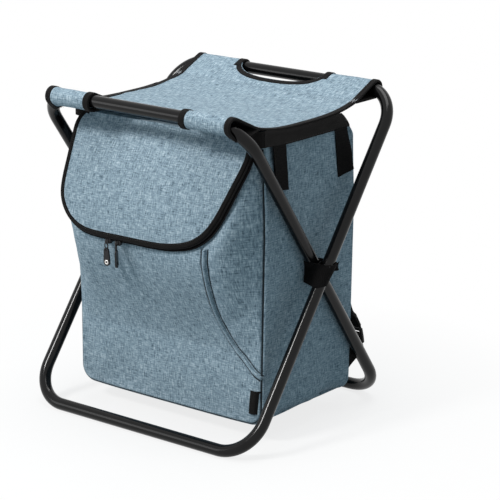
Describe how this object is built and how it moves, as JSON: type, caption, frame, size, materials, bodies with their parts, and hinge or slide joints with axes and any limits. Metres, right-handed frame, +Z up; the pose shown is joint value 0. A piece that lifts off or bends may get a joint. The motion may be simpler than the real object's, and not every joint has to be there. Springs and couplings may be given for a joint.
{
  "type": "folding cooler stool",
  "caption": "Folding camp stool with crossed tube legs, a sling seat and a soft insulated bag with a zipped front lid and shoulder straps.",
  "frame": {"origin": "on the floor, midway between the two bottom bars and under the pivots", "axes": "+X along the seat bars towards the piped side, +Y to the rear, +Z up"},
  "size_m": [0.3892, 0.3284, 0.4351],
  "materials": {
    "steel_tube": "black satin powder coat",
    "rivet_steel": "blackened steel",
    "zip_metal": "black lacquered zinc with worn bright edges",
    "black_nylon": "moulded nylon",
    "melange_cloth": "blue-grey melange polyester, fine plain weave",
    "black_webbing": "woven black binding and webbing",
    "pad_cloth": "padded black mesh and cloth",
    "foil_liner": "silver foil film"
  },
  "bodies": {
    "outer_frame": {"outer_loop_tube": "steel_tube", "pivot_rivet_left": "rivet_steel", "pivot_rivet_right": "rivet_steel", "pivot_washer_left": "black_nylon", "pivot_washer_right": "black_nylon", "seat_rear_sleeve_left": "melange_cloth", "seat_rear_sleeve_right": "melange_cloth", "rear_handle_ring_left": "black_webbing", "rear_handle_ring_right": "black_webbing", "rear_end_binding_left": "black_webbing", "rear_end_binding_right": "black_webbing"},
    "inner_frame": {"inner_loop_tube": "steel_tube", "seat_front_sleeve_left": "melange_cloth", "seat_front_sleeve_right": "melange_cloth", "front_handle_ring_left": "black_webbing", "front_handle_ring_right": "black_webbing", "front_end_binding_left": "black_webbing", "front_end_binding_right": "black_webbing"},
    "seat": {"seat_panel": "melange_cloth", "front_handle_binding": "black_webbing", "rear_handle_binding": "black_webbing", "seat_side_binding_left": "black_webbing", "seat_side_binding_right": "black_webbing"},
    "bag": {"bag_front_panel": "melange_cloth", "bag_back_panel": "melange_cloth", "bag_bottom_panel": "melange_cloth", "bag_side_panel_left": "melange_cloth", "bag_side_panel_right": "melange_cloth", "bag_top_panel": "melange_cloth", "bag_liner": "foil_liner", "zip_tape": "black_webbing", "pocket_piping": "melange_cloth", "side_label": "black_webbing", "top_band_left": "black_webbing", "top_band_right": "black_webbing", "side_tab_front_left": "black_webbing", "side_tab_rear_left": "black_webbing", "side_tab_front_right": "black_webbing", "side_tab_rear_right": "black_webbing", "pivot_wrap_left": "black_webbing", "pivot_wrap_right": "black_webbing", "shoulder_pad_left": "pad_cloth", "shoulder_pad_right": "pad_cloth", "ladder_lock_left": "black_nylon", "ladder_lock_right": "black_nylon", "strap_webbing_left": "black_webbing", "strap_webbing_right": "black_webbing"},
    "lid": {"lid_flap": "melange_cloth", "lid_edge_binding": "black_webbing", "lid_liner": "foil_liner"},
    "slider_left": {"zip_slider_left": "zip_metal"},
    "slider_right": {"zip_slider_right": "zip_metal"},
    "pull_left": {"zip_pull_left": "zip_metal"},
    "pull_right": {"zip_pull_right": "zip_metal"}
  },
  "joints": [
    {"name": "frame_fold", "type": "hinge", "parent": "outer_frame", "child": "inner_frame", "pos_m": [0, 0, 0.21914], "axis": [-1, 0, 0], "range_deg": [0, 66]},
    {"name": "bag_swing", "type": "hinge", "parent": "outer_frame", "child": "bag", "pos_m": [0, 0, 0.21914], "axis": [-1, 0, 0], "range_deg": [0, 33]},
    {"name": "seat_follow", "type": "hinge", "parent": "outer_frame", "child": "seat", "pos_m": [0, 0, 0.21914], "axis": [-1, 0, 0], "range_deg": [0, 33]},
    {"name": "lid_open", "type": "hinge", "parent": "bag", "child": "lid", "pos_m": [0, -0.09985, 0.39468], "axis": [-1, 0, 0], "range_deg": [0, 68]},
    {"name": "slider_left_travel", "type": "slide", "parent": "bag", "child": "slider_left", "axis": [0.9991, 0, 0.0413], "range_m": [-0.014, 0]},
    {"name": "slider_right_travel", "type": "slide", "parent": "bag", "child": "slider_right", "axis": [0.9991, 0, 0.0413], "range_m": [0, 0.082]},
    {"name": "pull_left_swing", "type": "hinge", "parent": "slider_left", "child": "pull_left", "pos_m": [-0.055, -0.15909, 0.23835], "axis": [-1, 0, 0], "range_deg": [-25, 120]},
    {"name": "pull_right_swing", "type": "hinge", "parent": "slider_right", "child": "pull_right", "pos_m": [-0.037, -0.15948, 0.2391], "axis": [-1, 0, 0], "range_deg": [-25, 120]}
  ],
  "couplings": [
    {"joint": "bag_swing", "follows": "frame_fold", "ratio": 0.5},
    {"joint": "seat_follow", "follows": "frame_fold", "ratio": 0.5}
  ]
}
